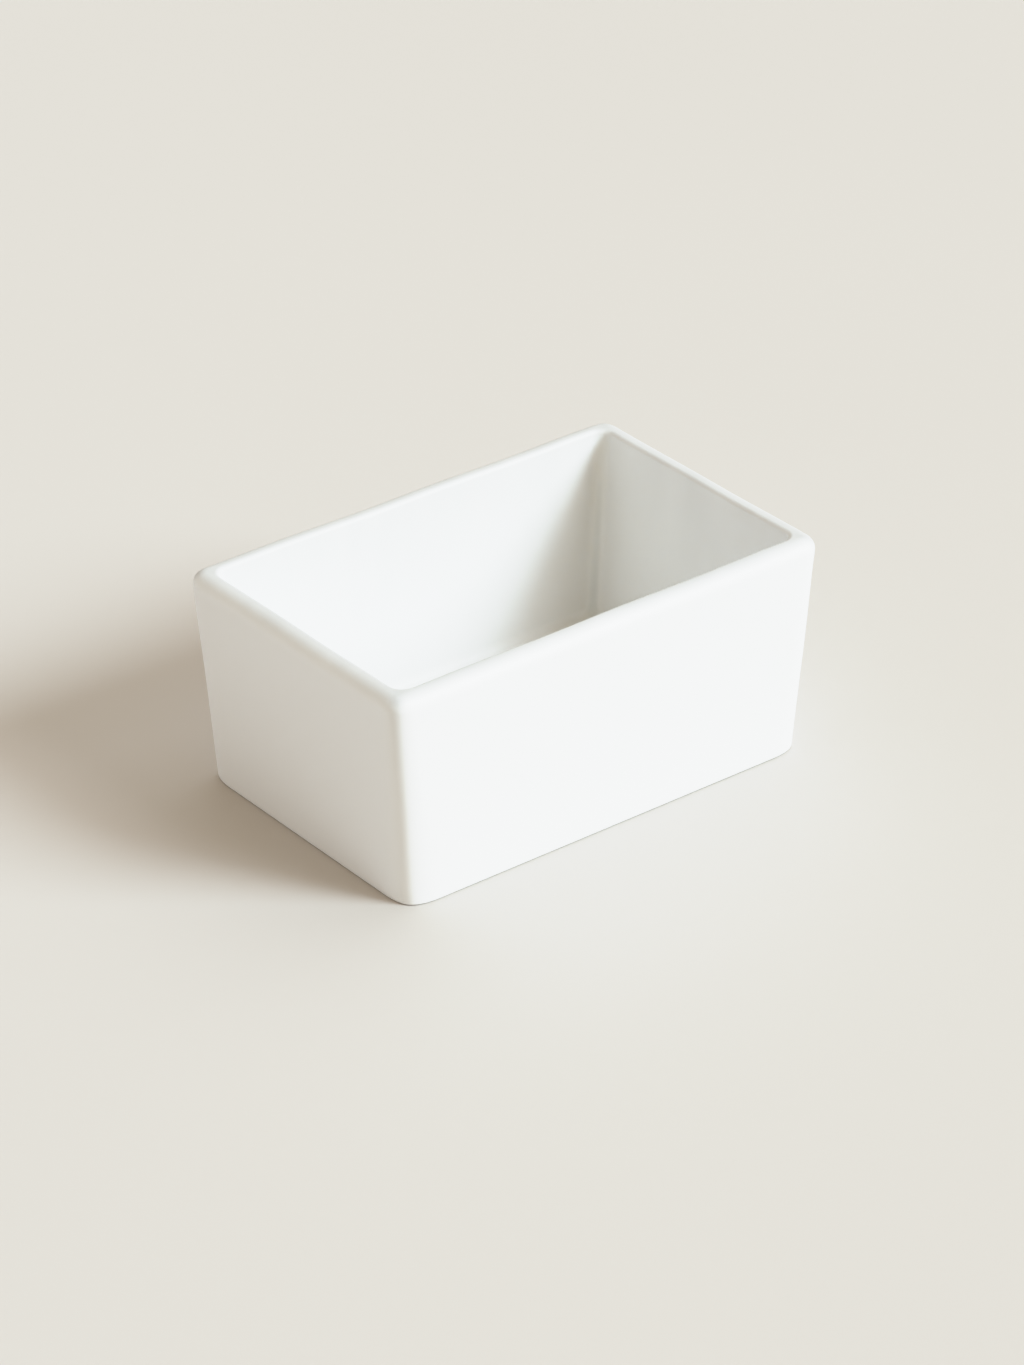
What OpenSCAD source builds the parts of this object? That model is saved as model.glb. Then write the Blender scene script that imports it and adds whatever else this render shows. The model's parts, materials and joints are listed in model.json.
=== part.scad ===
// Sugar packet holder: an open rectangular tray of white glazed porcelain.
// Origin at the centre of the base on the table, +X along the length, +Z up.
// All lengths are in millimetres and all angles in degrees.

/* [Overall] */
// Length over the rim
length = 108; // [90:1:130]
// Width over the rim
width = 69; // [58:1:90]
// Height from the table to the rim
height = 48; // [40:0.5:65]

/* [Walls] */
// Thickness of the walls, glaze included
wall_t = 4.25; // [3:0.25:6]
// Lean of the walls away from upright, wider at the rim
draft = 3; // [1:0.25:6]
// Outside corner radius at table level
foot_corner_r = 3.5; // [2.5:0.25:8]
// Inside corner radius at the floor of the well
well_corner_r = 2.5; // [2:0.25:8]
// Rounding of the rim's outer edge
rim_outer_r = 2.75; // [1.5:0.25:3.5]
// Rounding of the rim's inner edge
rim_inner_r = 0.75; // [0.75:0.25:1.25]

/* [Base] */
// Thickness of the floor between the well and the recess, glaze included
floor_t = 4; // [3:0.25:7]
// Fillet between the walls and the floor of the well
well_fillet_r = 3; // [1:0.25:5]
// Rounding of the lower outside edge
heel_r = 1; // [1:0.25:5]
// Width of the dry ring that the holder stands on
foot_w = 4; // [2:0.25:8]
// Depth of the recess inside the dry ring
foot_depth = 1.2; // [0.8:0.1:2.5]
// Corner radius of the recess
recess_corner_r = 3; // [1:0.25:6]

/* [Glaze] */
// Thickness of the fired glaze
glaze_t = 0.3; // [0.15:0.05:0.5]
// Height above the table at which the outside glaze stops
glaze_stop = 0.3; // [0.3:0.1:1.2]

/* [Hidden] */
$fn = 96;

// Level of the well's floor above the table
floor_z = foot_depth + floor_t;
// A rounding can't be larger than the wall or corner that it is cut from
rim_outer = min(rim_outer_r, 0.66 * wall_t, 0.95 * foot_corner_r);
rim_inner = min(rim_inner_r, 0.22 * wall_t);
heel_round = min(heel_r, 0.95 * foot_corner_r);
well_fillet = min(well_fillet_r, 0.95 * well_corner_r);
// Sideways run of a wall for each millimetre of height, and over the whole height
slope = tan(draft);
wall_run = height * slope;
// Half the length that the outer walls would reach if the rim were sharp, and the well's
outer_half = length / 2 + rim_outer * (slope + 1 / cos(draft) - 1);
well_half = outer_half - wall_t / cos(draft);
// Half the difference between length and width, alike for every rounded rectangle here
side_step = (length - width) / 2;
// Corner axes lie on whole hundredths, so that round and straight stretches meet exactly
corner_x = hundredths(outer_half - wall_run - foot_corner_r);
well_x = hundredths(well_half - wall_run + floor_z * slope - well_corner_r);
// How far the outer wall and the well's wall stand out from their axes at table level
outer_u = outer_half - wall_run - corner_x;
well_u = well_half - wall_run - well_x;
// Where the lower edge's rounding meets the table, measured the same way
heel_u = arc_centre(outer_u, heel_round, heel_round, 1).x;
recess_x = hundredths(corner_x + heel_u - foot_w - recess_corner_r);
// How far a cutting shape runs past the face that it opens
cut_past = 5;
// How far a wall's line ends inside the arc that it runs into
arc_tuck = 0.0005;

function hundredths(v) = floor(v * 100) / 100;

// Distance out from a corner axis to a leaning wall that stands base_u out at table level
function leaning_u(base_u, z) = base_u + z * slope;

// Centre of an arc of radius r at level z that touches the inside (side 1)
// or the outside (side -1) of a leaning wall
function arc_centre(base_u, z, r, side) = [leaning_u(base_u, z) - side * r / cos(draft), z];

// Point where such an arc touches the wall
function arc_touch(centre, r, side) = centre + side * (r - arc_tuck) * [cos(draft), -sin(draft)];

// Half section of the outer form, from the corner axis outwards.
// skin is how far the surface lies inside the finished one, all but the foot.
module outer_section(skin) {
    base_u = outer_u - skin / cos(draft);
    heel = heel_round - skin;
    rim = rim_outer - skin;
    top = height - skin;
    heel_c = arc_centre(base_u, heel, heel, 1);
    rim_c = arc_centre(base_u, height - rim_outer, rim, 1);
    polygon([
        [0, 0], [heel_c.x, 0], arc_touch(heel_c, heel, 1),
        arc_touch(rim_c, rim, 1), [rim_c.x, top], [0, top]
    ]);
    intersection() {
        translate(heel_c) circle(heel);
        square([leaning_u(base_u, height), height]);
    }
    // A wide rim on a tight corner would reach over the axis, so it is kept to this side
    intersection() {
        translate(rim_c) circle(rim);
        square([leaning_u(base_u, height), height + cut_past]);
    }
}

// Half section of the well, from its corner axis outwards, opening over the rim.
// skin is how far the surface lies behind the finished one.
module well_section(skin) {
    base_u = well_u + skin / cos(draft);
    bottom = floor_z - skin;
    fillet = well_fillet + skin;
    rim = rim_inner - skin;
    fillet_c = arc_centre(base_u, floor_z + well_fillet, fillet, 1);
    rim_c = arc_centre(base_u, height - rim_inner, rim, -1);
    difference() {
        polygon([
            [0, bottom], [fillet_c.x, bottom], arc_touch(fillet_c, fillet, 1), arc_touch(rim_c, rim, -1),
            [rim_c.x, height - skin], [rim_c.x, height + cut_past], [0, height + cut_past]
        ]);
        translate(rim_c) circle(rim);
    }
    intersection() {
        translate(fillet_c) circle(fillet);
        translate([0, bottom]) square([leaning_u(base_u, height), height]);
    }
}

// Solid whose plan is a rectangle with round corners about the axes (axis_x, axis_y)
// and whose edge, all the way round, is the half section given as child.
// Inside the axes it is filled from z0 to z1.
module swept_block(axis_x, z0, z1) {
    axis_y = axis_x - side_step;
    for (turn = [0, 90, 180, 270]) {
        out = turn % 180 == 0 ? axis_x : axis_y;
        along = turn % 180 == 0 ? axis_y : axis_x;
        rotate(turn) translate([out, along, 0]) {
            rotate_extrude(angle = 90) children();
            rotate([90, 0, 0]) linear_extrude(2 * along) children();
        }
    }
    translate([-axis_x, -axis_y, z0]) cube([2 * axis_x, 2 * axis_y, z1 - z0]);
}

module outer_form(skin) {
    swept_block(corner_x, 0, height - skin) outer_section(skin);
}

module well_form(skin) {
    swept_block(well_x, floor_z - skin, height + cut_past) well_section(skin);
}

// Flat rounded block that fits the recess, from z0 to z1
module recess_form(z0, z1) {
    swept_block(recess_x, z0, z1) translate([0, z0]) square([recess_corner_r, z1 - z0]);
}

// The clay under the glaze, before the recess is cut
module clay_form() {
    difference() {
        outer_form(glaze_t);
        well_form(glaze_t);
    }
}

// The fired clay: walls, floor and the dry ring that it stands on
module porcelain_body() {
    color([0.93, 0.91, 0.87]) difference() {
        clay_form();
        recess_form(-cut_past, foot_depth);
    }
}

// The glaze fired on to the outside, over the rim and all over the well
module glaze_coat() {
    color([0.96, 0.96, 0.95]) difference() {
        outer_form(0);
        well_form(0);
        clay_form();
        translate([-length, -width, -cut_past]) cube([2 * length, 2 * width, cut_past + glaze_stop]);
    }
}

// The glaze inside the dry ring, cut off from the rest by the ring
module base_glaze() {
    color([0.95, 0.95, 0.94]) recess_form(foot_depth - glaze_t, foot_depth);
}

porcelain_body();
glaze_coat();
base_glaze();
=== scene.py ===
"""Sugar packet holder: its glazed porcelain surfaces, the studio light and the camera.

All sizes are in metres in the part's own frame: origin at the centre of the base on the
table, +X along the length, +Z up.
"""
import json
import math

import bpy
import numpy as np
from mathutils import Matrix, Vector


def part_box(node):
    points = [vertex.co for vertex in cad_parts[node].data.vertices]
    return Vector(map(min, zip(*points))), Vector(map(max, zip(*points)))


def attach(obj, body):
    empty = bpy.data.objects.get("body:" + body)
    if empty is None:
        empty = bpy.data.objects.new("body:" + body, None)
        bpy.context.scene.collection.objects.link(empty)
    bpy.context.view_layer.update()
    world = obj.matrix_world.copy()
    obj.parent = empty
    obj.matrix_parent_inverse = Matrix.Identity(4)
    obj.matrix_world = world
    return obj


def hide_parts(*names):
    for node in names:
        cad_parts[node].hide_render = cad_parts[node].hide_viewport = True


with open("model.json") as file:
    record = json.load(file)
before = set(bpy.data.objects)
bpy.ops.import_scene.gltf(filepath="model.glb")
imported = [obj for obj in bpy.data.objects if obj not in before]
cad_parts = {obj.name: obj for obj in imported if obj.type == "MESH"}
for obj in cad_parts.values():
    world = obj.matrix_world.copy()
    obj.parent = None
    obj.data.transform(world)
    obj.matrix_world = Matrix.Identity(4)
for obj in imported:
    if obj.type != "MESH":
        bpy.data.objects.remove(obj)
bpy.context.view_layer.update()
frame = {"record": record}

# Sizes read from the frame
glaze_low, glaze_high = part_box("glaze_coat")
_, clay_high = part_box("porcelain_body")
_, panel_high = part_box("base_glaze")
mounts = {mount["name"]: mount for mount in frame["record"]["mounts"]}
HALF_SIZE = np.array([glaze_high.x, glaze_high.y])
HEIGHT = glaze_high.z
GLAZE = HEIGHT - clay_high.z
GLAZE_STOP = glaze_low.z
FLOOR_Z = mounts["well_floor"]["pos_m"][2]
RECESS_HALF = np.array([panel_high.x, panel_high.y])
RECESS_Z = panel_high.z

# Slopes of the short end walls, which face X, and of the long side walls, which face Y
SLOPES = np.tan(np.radians([4.3, 1.3]))
WALL = 0.00425
OUTER_CORNER = 0.0034
WELL_CORNER = 0.003
RECESS_CORNER = 0.003
RIM_OUTER = 0.003
RIM_INNER = 0.0009
HEEL_ROUND = 0.0006
WELL_FILLET = 0.0024
# How much sooner than a round corner the outside begins to turn, at the foot and at the rim
SOFT_FOOT, SOFT_RIM = 0.004, 0.0011

# Distance along a level, for each unit at right angles to the leaning wall
LEVEL_RUN = np.sqrt(1 + SLOPES ** 2)
# Half sizes that the outer walls would reach at the rim's level if the rim were sharp
SHARP_HALF = HALF_SIZE + RIM_OUTER * (SLOPES + 1 - LEVEL_RUN)

# Gap left between the clay and the glaze over it, so that neither shows through the other
GLAZE_GAP = 0.00002
# How far the kiln has pulled the ware out of true, the lengths of the ripples and their seed
WARP = 0.00012
WARP_LENGTHS = (0.023, 0.061)
WARP_SEED = 11

# Depth of the glaze from 0 to 1: outside at the foot and at both ends of the wall, on the
# rim's crest, in the well at both ends of the wall and in the fillet, and under the base.
# The low depth on the crest paints shade on the rim, and the high depth in the fillet paints
# shade into the fillet.
FOOT_DEPTH, OUTER_LOW_DEPTH, OUTER_HIGH_DEPTH = 0.55, 0.7, 0.5
CREST_SHADE_DEPTH = 0.1
WELL_HIGH_DEPTH, WELL_LOW_DEPTH, FILLET_SHADE_DEPTH = 0.35, 0.6, 0.85
BASE_DEPTH = 0.5
# How much deeper it is at the corners, outside and in the well: the outer corners are thinner,
# which paints shade on them, and the well's corners deeper, which paints shade into them
OUTER_CORNER_SHADE_DEPTH, WELL_CORNER_SHADE_DEPTH = -0.2, 0.45
# How far below the rim the well's corners reach their full depth, and their painted shade its full strength
POOL_SHADE_REACH = 0.012

# Points along each arc of a section, each wall, each flat and each stretch of the loop
ARC_POINTS = 13
WALL_POINTS = 40
LIP_POINTS = 5
RIM_FLAT_POINTS = 3
FLOOR_RINGS = 16
FOOT_POINTS = 5
CORNER_POINTS = 33
SIDE_POINTS = (26, 40)
# Turns a row vector by 90 degrees, anticlockwise
QUARTER_TURN = np.array([[0, 1], [-1, 0]])

# Finishes: colours are shares of light sent back, depths are in metres, and a pattern is how
# many patches lie in a metre and how many layers of finer detail lie over them
NOISE_MEAN = 0.5
GLAZE_FULL = (0.842, 0.842, 0.84)
# The thin glaze's grey is also painted shade on the rim and the outer corners
THIN_GLAZE_AND_SHADE = (0.575, 0.568, 0.567)
# Glaze that pools is darker: painted shade in the well's corners and fillet
POOLED_GLAZE_AND_SHADE = (0.7, 0.712, 0.71)
GLAZE_ROUGHNESS, BASE_ROUGHNESS = 0.5, 0.54
GLAZE_IOR = 1.5
CLOUDS = (38.0, 2.0)
RUNS = (150.0, 1.0)
RUN_STRETCH = (1.0, 1.0, 0.12)
RIPPLES = (260.0, 1.0)
RIPPLE_DEPTH = 0.00001
# How much clouds and runs change the depth, and the ripples' share of the relief
CLOUD_CHANGE, RUN_CHANGE = 0.18, 0.1
RIPPLE_SHARE = 0.6
# Depths at which the glaze begins to cover and covers in full, and begins to pool and pools in full;
# thin glaze and glaze that pools are darker, which is the painted shade on the rim, the corners and in the
# well
COVER_RANGE = (0.0, 0.5)
POOL_RANGE = (0.7, 1.1)
# How roughness changes where the glaze is thin, where it has pooled and over the ripples
THIN_DULLER, POOLED_SMOOTHER, RIPPLE_CHANGE = 0.08, 0.05, 0.06
CLAY_PALE = (0.82, 0.79, 0.735)
CLAY_DARK = (0.73, 0.69, 0.625)
CLAY_RUBBED = (0.55, 0.53, 0.5)
CLAY_ROUGHNESS = 0.78
GRAIN = (2600.0, 3.0)
GRAIN_DEPTH = 0.00003
GRAIN_DULLER = 0.14
RUBS = (120.0, 3.0)
RUB_RANGE = (0.5, 0.72)
RUB_SHARE, RUB_SMOOTHER = 0.5, 0.1
TABLE_PALE = (0.59, 0.547, 0.517)
TABLE_DARK = (0.574, 0.531, 0.501)
TABLE_ROUGHNESS = 0.74
TABLE_HALF = 12.0
DRIFT = (5.0, 1.0)
DRIFT_SHARE = 0.7
TOOTH = (900.0, 2.0)
TOOTH_DEPTH = 0.00001
TOOTH_DULLER = 0.12
# Places of the sockets of a node that mixes two colours
MIX_SHARE, MIX_FIRST, MIX_LAST, MIX_RESULT = 0, 6, 7, 2

# Lamps: name, azimuth and elevation of the way to it and how wide it looks, in degrees, and colour
LAMPS = [
    ("key", -55.0, 31.0, 24.0, (0.776, 0.981, 1.108)),
    ("key_top", -66.0, 38.0, 20.0, (0.28, 0.297, 0.312)),
    ("top_fill", 20.0, 60.0, 60.0, (0.243, 0.29, 0.339)),
]
# Room light: its even colour, and a glow on one side of it, towards an angle in degrees
ROOM_EVEN = (0.479, 0.364, 0.185)
ROOM_GLOW = (0.69, 0.887, 1.18)
GLOW_AZIMUTH, GLOW_ELEVATION = 150.0, 0.0
GLOW_POWER = 3.0
# Camera's response: straight up to the knee, then rolling off, over this range of brightness
KNEE = 0.76
BRIGHTEST = 4.0
ROLL_OFF_POINTS = 12
# Place of the curve that red, green and blue share
SHARED_CURVE = 3

# Photograph's camera: where it stands, what it looks at and its focal length in pixels
PHOTO_SIZE = (1024, 1365)
VIEW_AZIMUTH = math.radians(-38.41)
VIEW_ELEVATION = math.radians(29.84)
VIEW_DISTANCE = 1.0279
VIEW_TARGET = Vector((-0.00636, -0.00992, 0.025))
FOCAL_PIXELS = 5164.7
SENSOR = 36.0
NEAREST_SEEN, FARTHEST_SEEN = 0.05, 40.0


def add_object(name, data):
    """A new object in the scene that shows a mesh, a lamp or a camera."""
    made = bpy.data.objects.new(name, data)
    bpy.context.scene.collection.objects.link(made)
    return made


def place_camera():
    """A camera on the photograph's line of sight, with +Z upright in its picture."""
    back = Vector((
        math.sin(VIEW_AZIMUTH) * math.cos(VIEW_ELEVATION),
        -math.cos(VIEW_AZIMUTH) * math.cos(VIEW_ELEVATION),
        math.sin(VIEW_ELEVATION),
    ))
    right = Vector((math.cos(VIEW_AZIMUTH), math.sin(VIEW_AZIMUTH), 0.0))
    up = back.cross(right)
    lens = bpy.data.cameras.new("camera")
    lens.sensor_width = SENSOR
    lens.lens = FOCAL_PIXELS * SENSOR / max(PHOTO_SIZE)
    lens.clip_start = NEAREST_SEEN
    lens.clip_end = FARTHEST_SEEN
    camera = add_object("camera", lens)
    turn = Matrix((right, up, back)).transposed().to_4x4()
    camera.matrix_world = Matrix.Translation(VIEW_TARGET + back * VIEW_DISTANCE) @ turn
    bpy.context.scene.camera = camera


# A swept surface is a list of rows, one for each point of its section. A row holds the corner
# axes' half spacing along X and Y, the reach outwards from them, how softly the corners turn,
# the level, the glaze's depth from 0 to 1, which also places painted shade, and how much that depth changes
# at the corners.
AXES, REACH, SOFT, LEVEL, DEPTH, CORNER_DEPTH = slice(0, 2), 2, 3, 4, 5, 6


def row_table(axes, reach, soft, level, depth, corner_depth):
    """The columns of a list of rows put side by side."""
    corner = np.broadcast_to(corner_depth, level.shape)
    return np.concatenate([axes, np.stack([reach, soft, level, depth, corner], 1)], 1)


def blend(first, last, share):
    """Value between two values, by the share of the second."""
    return first + (last - first) * share


def between(first, last, points):
    """Evenly spaced rows from one row to another, without the two."""
    share = np.linspace(0, 1, points + 2)[1:-1, None]
    return first * (1 - share) + last * share


def outer_rows(skin):
    """Rows up the outside, from the table to the top of the rim.

    The section is a quarter circle for the heel, a straight wall and a quarter circle for the
    rim's outer edge, sheared sideways by slope times level on each side. skin is how far the
    surface lies under the finished one, all but the foot.
    """
    turn = np.linspace(0, np.pi / 2, ARC_POINTS)
    heel, rim, corner = HEEL_ROUND - skin, RIM_OUTER - skin, OUTER_CORNER - skin
    rim_foot = HEIGHT - RIM_OUTER
    wall = np.linspace(heel, rim_foot, WALL_POINTS + 2)[1:-1]
    level = np.concatenate([heel * (1 - np.cos(turn)), wall, rim_foot + rim * np.sin(turn)])
    inset = np.concatenate([heel * (1 - np.sin(turn)), 0 * wall, rim * (1 - np.cos(turn))])
    # Glaze depth thins over the rim's outer edge, which paints shade on it
    depth = np.concatenate([
        blend(FOOT_DEPTH, OUTER_LOW_DEPTH, np.sin(turn)),
        blend(OUTER_LOW_DEPTH, OUTER_HIGH_DEPTH, wall / HEIGHT),
        blend(OUTER_HIGH_DEPTH, CREST_SHADE_DEPTH, np.sin(turn) ** 2),
    ])
    axes = SHARP_HALF + (level[:, None] - HEIGHT) * SLOPES - skin * LEVEL_RUN - corner
    soft = blend(SOFT_FOOT, SOFT_RIM, level / HEIGHT)
    # Thinner glaze at the outer corners, which paints shade on them
    return row_table(axes, corner - inset, soft, level, depth, OUTER_CORNER_SHADE_DEPTH)


def well_rows(skin):
    """Rows down the well, from the top of the rim to the edge of the floor.

    The section is a quarter circle for the rim's inner edge, a straight wall and a hollow
    quarter circle into the floor, sheared as the outside is. skin is how far the surface lies
    behind the finished one.
    """
    turn = np.linspace(np.pi / 2, 0, ARC_POINTS)
    fillet, rim, corner = WELL_FILLET + skin, RIM_INNER - skin, WELL_CORNER + skin
    floor, rim_foot = FLOOR_Z - skin, HEIGHT - RIM_INNER
    wall = np.linspace(rim_foot, floor + fillet, WALL_POINTS + 2)[1:-1]
    level = np.concatenate([rim_foot + rim * np.sin(turn), wall, floor + fillet * (1 - np.cos(turn))])
    outset = np.concatenate([rim * (1 - np.cos(turn)), 0 * wall, -fillet * (1 - np.sin(turn))])
    # Glaze depth thins over the rim's inner edge, which paints shade on it, and deepens into the fillet,
    # which paints shade there
    depth = np.concatenate([
        blend(WELL_HIGH_DEPTH, CREST_SHADE_DEPTH, np.sin(turn) ** 2),
        blend(WELL_LOW_DEPTH, WELL_HIGH_DEPTH, wall / HEIGHT),
        blend(WELL_LOW_DEPTH, FILLET_SHADE_DEPTH, np.sin(2 * turn)),
    ])
    axes = SHARP_HALF + (level[:, None] - HEIGHT) * SLOPES - (WALL - skin) * LEVEL_RUN - corner
    # Deeper glaze in the well's corners, full from a little below the rim to the top of the fillet: painted
    # shade in the corners
    corner_pool_shade = WELL_CORNER_SHADE_DEPTH * np.clip((rim_foot - level) / POOL_SHADE_REACH, 0, 1)
    corner_pool_shade *= np.clip((level - floor) / fillet, 0, 1)
    return row_table(axes, corner + outset, 0 * level, level, depth, corner_pool_shade)


def flat_rings(row):
    """Rows drawn in from a flat edge to the centre: axes, reach and softness shrink together."""
    centre = row.copy()
    centre[:LEVEL] = 0
    return between(row, centre, FLOOR_RINGS)


def bowl_rows(skin):
    """Rows over the outside, the flat on top of the rim, the well and its floor to the centre."""
    outside, well = outer_rows(skin), well_rows(skin)
    return np.concatenate([
        outside, between(outside[-1], well[0], RIM_FLAT_POINTS), well, flat_rings(well[-1]),
    ])


def cut_at(rows, level):
    """Rows above a level, with one more row exactly on it, found between its two neighbours."""
    above = np.argmax(rows[:, LEVEL] > level)
    low, high = rows[above - 1], rows[above]
    share = (level - low[LEVEL]) / (high[LEVEL] - low[LEVEL])
    return np.concatenate([blend(low, high, share)[None], rows[above:]])


def glaze_lip(inner, outer):
    """Rows of a half circle that closes the glaze's lower edge, bulging down from its middle."""
    turn = np.linspace(0, np.pi, LIP_POINTS + 2)[1:-1, None]
    middle, half = (inner + outer) / 2, (outer - inner) / 2
    rows = middle - half * np.cos(turn)
    rows[:, LEVEL] -= np.abs(half[REACH]) * np.sin(turn[:, 0])
    return rows


def corner_loop():
    """Once round a rectangle with soft corners, anticlockwise, as (s, n, k, bend) per point.

    A point of the surface is axes * s + reach * n + softness * k: s runs from corner axis to
    corner axis, n is the outward direction, which turns only at the corners, and k is a curve
    across the corner whose radius goes as cos(2 * turn) ** 4, so that it bends least where it
    leaves the sides. bend is 1 in the middle of a corner and 0 along the sides.
    """
    turn = np.linspace(0, np.pi / 2, CORNER_POINTS)
    outward = np.stack([np.cos(turn), np.sin(turn)], 1)
    step = np.cos(2 * turn)[:, None] ** 4 * np.stack([-np.sin(turn), np.cos(turn)], 1)
    curve = np.concatenate([np.zeros((1, 2)), np.cumsum(step[1:] + step[:-1], 0)])
    curve = curve / curve[-1, 1] - (0, 1)
    bend = np.sin(2 * turn)[:, None] ** 2
    corner = np.concatenate([np.ones((CORNER_POINTS, 2)), outward, curve], 1)
    stretches = []
    for quarter in range(4):
        following = (corner.reshape(-1, 3, 2) @ QUARTER_TURN).reshape(-1, 6)
        side = between(corner[-1], following[0], SIDE_POINTS[1 - quarter % 2])
        stretches += [np.concatenate([corner, bend], 1), np.pad(side, ((0, 0), (0, 1)))]
        corner = following
    return np.concatenate(stretches)


def sweep(rows):
    """Grid of points and grid of glaze depths, one line per row and one column per loop point."""
    along, outward, curve, bend = np.split(corner_loop(), (2, 4, 6), 1)
    flat = rows[:, None, AXES] * along + rows[:, None, REACH, None] * outward
    flat += rows[:, None, SOFT, None] * curve
    level = np.broadcast_to(rows[:, None, LEVEL, None], (*flat.shape[:2], 1))
    depth = rows[:, DEPTH, None] + np.outer(rows[:, CORNER_DEPTH], bend)
    return np.concatenate([flat, level], 2), np.clip(depth, 0, 1)


def kiln_warp(points):
    """Points shifted by slow ripples in space, so that every layer of the ware bends alike.

    Each direction's shift is a sum of sine waves of WARP_LENGTHS with seeded headings. It fades
    out towards the table, and the form is drawn in as much as it can grow by, to keep its box.
    """
    seeded = np.random.default_rng(WARP_SEED)
    shift = np.zeros_like(points)
    for length in WARP_LENGTHS:
        heading = seeded.normal(size=(3, 3))
        heading *= 2 * np.pi / length / np.linalg.norm(heading, axis=1, keepdims=True)
        phase = seeded.uniform(0, 2 * np.pi, 3)
        shift += np.sin(points @ heading.T + phase) / len(WARP_LENGTHS)
    half = np.array([*HALF_SIZE, HEIGHT])
    settle = np.clip(points[..., 2:] / HEIGHT, 0, 1)
    return points + (shift - points / half) * settle * WARP


def mesh_piece(name, rows):
    """A closed smooth mesh swept from rows, with a fan of triangles at each end of the section."""
    grid, depth = sweep(rows)
    grid = kiln_warp(grid)
    count, around = grid.shape[:2]
    index = np.arange(count * around).reshape(count, around)
    beside = np.roll(index, -1, 1)
    quads = np.stack([index[:-1], beside[:-1], beside[1:], index[1:]], 2).reshape(-1, 4)
    first, last = count * around, count * around + 1
    start_fan = np.stack([beside[0], index[0], np.full(around, first)], 1)
    end_fan = np.stack([index[-1], beside[-1], np.full(around, last)], 1)
    points = np.concatenate([grid.reshape(-1, 3), grid[[0, -1]].mean(1)])
    depths = np.concatenate([depth.ravel(), depth[[0, -1]].mean(1)])
    mesh = bpy.data.meshes.new(name)
    mesh.from_pydata(points, [], quads.tolist() + start_fan.tolist() + end_fan.tolist())
    mesh.polygons.foreach_set("use_smooth", np.ones(len(mesh.polygons), bool))
    mesh.attributes.new("glaze_depth_and_shade", "FLOAT", "POINT").data.foreach_set("value", depths)
    mesh.update()
    return add_object(name, mesh)


def glazed_coat():
    """The glaze: its inner face on the clay, a rounded lip above the foot and its outer face."""
    inner, outer = (cut_at(bowl_rows(skin), GLAZE_STOP) for skin in (GLAZE, 0))
    lip = glaze_lip(inner[0], outer[0])
    return mesh_piece("glazed_coat", np.concatenate([inner[::-1], lip, outer]))


def recess_row(reach, level):
    """A row round the recess under the base, at a level and a reach from its corner axes."""
    return np.array([*(RECESS_HALF - RECESS_CORNER), reach, 0, level, BASE_DEPTH, 0])


def fired_body():
    """The clay: recess, dry foot ring, and the walls and floor under the glaze."""
    ware = bowl_rows(GLAZE + GLAZE_GAP)
    edge, foot = recess_row(RECESS_CORNER, RECESS_Z), recess_row(RECESS_CORNER, 0)
    return mesh_piece("fired_body", np.concatenate([
        flat_rings(edge)[::-1], edge[None], between(edge, foot, RIM_FLAT_POINTS), foot[None],
        between(foot, ware[0], FOOT_POINTS), ware,
    ]))


def base_panel():
    """The glaze in the recess: a thin plate, closed round its edge."""
    low = recess_row(RECESS_CORNER - GLAZE_GAP, RECESS_Z - GLAZE)
    high = recess_row(RECESS_CORNER - GLAZE_GAP, RECESS_Z - GLAZE_GAP)
    return mesh_piece("base_panel", np.concatenate([
        flat_rings(low)[::-1], low[None], high[None], flat_rings(high),
    ]))


class Wire:
    """One output socket of a shader. Sums on wires add Math nodes, and node() adds any other node."""

    def __init__(self, socket):
        self.socket = socket

    def node(self, kind, settings, sockets, output=0):
        """Output of a new node in the same tree: settings are set first, then values or links."""
        made = self.socket.id_data.nodes.new(kind)
        for setting, value in settings.items():
            setattr(made, setting, value)
        feed(made, sockets)
        return Wire(made.outputs[output])

    def sum(self, operation, first, second):
        """Output of a new Math node."""
        return self.node("ShaderNodeMath", {"operation": operation}, {0: first, 1: second})

    def __add__(self, other):
        return self.sum("ADD", self, other)

    def __sub__(self, other):
        return self.sum("SUBTRACT", self, other)

    def __rsub__(self, other):
        return self.sum("SUBTRACT", other, self)

    def __mul__(self, other):
        return self.sum("MULTIPLY", self, other)

    def __pow__(self, other):
        return self.sum("POWER", self, other)

    __radd__ = __add__
    __rmul__ = __mul__


def feed(node, sockets):
    """Gives each of a node's sockets its value, or its link where the value is a wire."""
    for key, value in sockets.items():
        if isinstance(value, Wire):
            node.id_data.links.new(value.socket, node.inputs[key])
        else:
            node.inputs[key].default_value = value


def mottle(place, pattern):
    """Noise from 0 to 1, in a pattern of so many patches in a metre and so many finer layers."""
    per_metre, detail = pattern
    return place.node("ShaderNodeTexNoise", {}, {
        "Vector": place, "Scale": per_metre, "Detail": detail,
    }, "Fac")


def ease(value, limits):
    """0 below the lower limit, 1 above the upper one, and a smooth step between them."""
    low, high = limits
    return value.node("ShaderNodeMapRange", {"interpolation_type": "SMOOTHSTEP"}, {
        "Value": value, "From Min": low, "From Max": high,
    })


def tint(share, first, last):
    """Colour between two colours, by the share of the second."""
    first, last = (colour if isinstance(colour, Wire) else (*colour, 1) for colour in (first, last))
    return share.node("ShaderNodeMix", {"data_type": "RGBA"}, {
        MIX_SHARE: share, MIX_FIRST: first, MIX_LAST: last,
    }, MIX_RESULT)


def relief(height, depth):
    """Surface direction over a height from 0 to 1 that stands depth metres tall."""
    return height.node("ShaderNodeBump", {}, {"Height": height, "Distance": depth}, "Normal")


def new_finish(name):
    """A material, its shader and a wire with the piece's own coordinates in metres."""
    material = bpy.data.materials.new(name)
    material.use_nodes = True
    shader = material.node_tree.nodes["Principled BSDF"]
    place = Wire(shader.outputs[0]).node("ShaderNodeTexCoord", {}, {}, "Object")
    return material, shader, place


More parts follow.
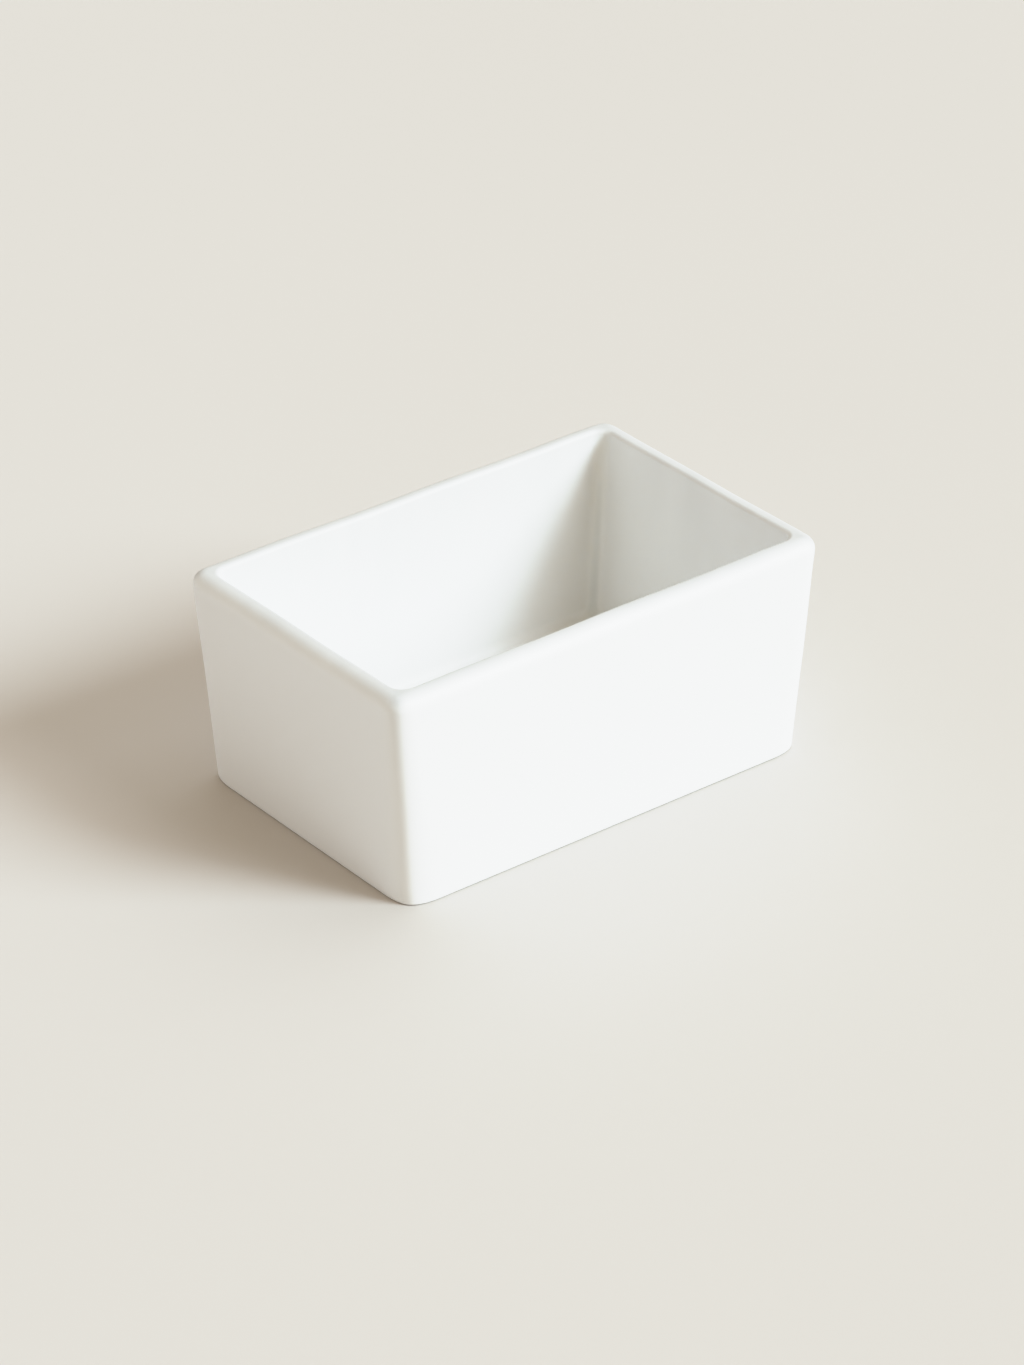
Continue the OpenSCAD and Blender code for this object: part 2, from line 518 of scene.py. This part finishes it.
def glaze_finish(name, roughness):
    """White glaze, as thick as the depth attribute and slow clouds make it.

    Where it is thin, over the rim and the corners, it is greyer and a little duller, and that
    grey is painted shade on the rim and the corners; where it pools, deep in the well and in its
    corners, it is darker and smoother, and that darker white is painted shade there. Runs down the
    walls and a fine ripple bend the light a little.
    """
    material, shader, place = new_finish(name)
    depth = place.node("ShaderNodeAttribute", {"attribute_name": "glaze_depth_and_shade"}, {}, "Fac")
    clouds = mottle(place, CLOUDS)
    drawn = place.node("ShaderNodeMapping", {}, {"Vector": place, "Scale": RUN_STRETCH})
    runs = mottle(drawn, RUNS)
    ripple = mottle(place, RIPPLES)
    # Depth with clouds and runs; its low values give the painted shade on rim and corners, its high values
    # the painted shade in the well
    thickness_and_shade = depth + (clouds - NOISE_MEAN) * CLOUD_CHANGE + (runs - NOISE_MEAN) * RUN_CHANGE
    cover_without_edge_shade = ease(thickness_and_shade, COVER_RANGE)
    pooled_and_shaded = ease(thickness_and_shade, POOL_RANGE)
    duller = THIN_DULLER * (1 - cover_without_edge_shade)
    feed(shader, {
        # Thin glaze and glaze that pools get darker colours: painted shade on the rim, the corners and in the
        # well
        "Base Color": tint(pooled_and_shaded, tint(cover_without_edge_shade, THIN_GLAZE_AND_SHADE, GLAZE_FULL), POOLED_GLAZE_AND_SHADE),
        "Roughness": roughness + duller - POOLED_SMOOTHER * pooled_and_shaded + RIPPLE_CHANGE * (ripple - NOISE_MEAN),
        "Normal": relief(RIPPLE_SHARE * ripple + (1 - RIPPLE_SHARE) * runs, RIPPLE_DEPTH),
        "IOR": GLAZE_IOR,
    })
    return material


def dry_porcelain():
    """Unglazed clay: pale, matt and fine grained, with greyer patches where the foot has rubbed."""
    material, shader, place = new_finish("dry_porcelain")
    grain = mottle(place, GRAIN)
    rubbed = ease(mottle(place, RUBS), RUB_RANGE)
    clay = tint(grain, CLAY_DARK, CLAY_PALE)
    feed(shader, {
        "Base Color": tint(rubbed * RUB_SHARE, clay, CLAY_RUBBED),
        "Roughness": CLAY_ROUGHNESS + GRAIN_DULLER * grain - RUB_SMOOTHER * rubbed,
        "Normal": relief(grain, GRAIN_DEPTH),
    })
    return material


def table_finish():
    """Matt pale cream board with a trace of slow shading and a fine tooth."""
    material, shader, place = new_finish("table")
    drift = mottle(place, DRIFT)
    tooth = mottle(place, TOOTH)
    feed(shader, {
        "Base Color": tint(DRIFT_SHARE * drift + (1 - DRIFT_SHARE) * tooth, TABLE_DARK, TABLE_PALE),
        "Roughness": TABLE_ROUGHNESS + TOOTH_DULLER * tooth,
        "Normal": relief(tooth, TOOTH_DEPTH),
    })
    return material


def lay_table():
    """A flat square at level 0, far wider than the picture."""
    mesh = bpy.data.meshes.new("table")
    corners = [(x * TABLE_HALF, y * TABLE_HALF, 0) for x, y in ((-1, -1), (1, -1), (1, 1), (-1, 1))]
    mesh.from_pydata(corners, [], [(0, 1, 2, 3)])
    mesh.materials.append(table_finish())
    return add_object("table", mesh)


def heading(azimuth, elevation):
    """Unit vector towards an azimuth, anticlockwise from +X, and an elevation, in degrees."""
    turn, rise = math.radians(azimuth), math.radians(elevation)
    return Vector((math.cos(turn) * math.cos(rise), math.sin(turn) * math.cos(rise), math.sin(rise)))


def hang_lamps():
    """Far soft lamps: every point of the table gets the same light, and shadows have soft edges."""
    for name, azimuth, elevation, width, colour in LAMPS:
        lamp = bpy.data.lights.new(name, "SUN")
        lamp.angle = math.radians(width)
        lamp.energy = math.pi
        lamp.color = colour
        light = add_object(name, lamp)
        light.rotation_euler = heading(azimuth, elevation).to_track_quat("Z", "Y").to_euler()


def light_room():
    """Room light in a direction d: even + glow * (d . b) ** power on the side that b points to."""
    world = bpy.data.worlds.new("room")
    bpy.context.scene.world = world
    world.use_nodes = True
    wall = world.node_tree.nodes["Background"]
    place = Wire(wall.outputs[0]).node("ShaderNodeTexCoord", {}, {}, "Generated")
    towards = place.node("ShaderNodeVectorMath", {"operation": "DOT_PRODUCT"}, {
        0: place, 1: heading(GLOW_AZIMUTH, GLOW_ELEVATION),
    }, "Value")
    facing = towards.sum("MAXIMUM", towards, 0.0)
    bright = [even + glow for even, glow in zip(ROOM_EVEN, ROOM_GLOW)]
    feed(wall, {"Color": tint(facing ** GLOW_POWER, ROOM_EVEN, bright)})


def soften_highlights():
    """Camera's response, for each colour alone.

    Light x comes out as x up to the knee and as 1 - d * d / (x + d - knee) above it, where
    d = 1 - knee, so that white never clips.
    """
    view = bpy.context.scene.view_settings
    view.view_transform = "Standard"
    view.use_curve_mapping = True
    response = view.curve_mapping
    response.white_level = (BRIGHTEST, BRIGHTEST, BRIGHTEST)
    room = 1 - KNEE
    light = KNEE + (BRIGHTEST - KNEE) * np.linspace(0, 1, ROLL_OFF_POINTS) ** 2
    shown = 1 - room ** 2 / (light + room - KNEE)
    curve = response.curves[SHARED_CURVE]
    curve.points[-1].location = (1.0, shown[-1])
    curve.points.new(KNEE / 2 / BRIGHTEST, KNEE / 2)
    for x, y in zip(light[:-1], shown[:-1]):
        curve.points.new(x / BRIGHTEST, y)
    response.update()


place_camera()

coat = glazed_coat()
body = fired_body()
panel = base_panel()
for piece, node, slot in [
    (coat, "glaze_coat", "glaze"), (body, "porcelain_body", "porcelain"), (panel, "base_glaze", "base_glaze"),
]:
    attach(piece, "root")
    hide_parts(node)

coat.data.materials.append(glaze_finish("white_glaze_and_painted_shade", GLAZE_ROUGHNESS))
body.data.materials.append(dry_porcelain())
panel.data.materials.append(glaze_finish("base_glaze", BASE_ROUGHNESS))

table = lay_table()

hang_lamps()
light_room()
soften_highlights()
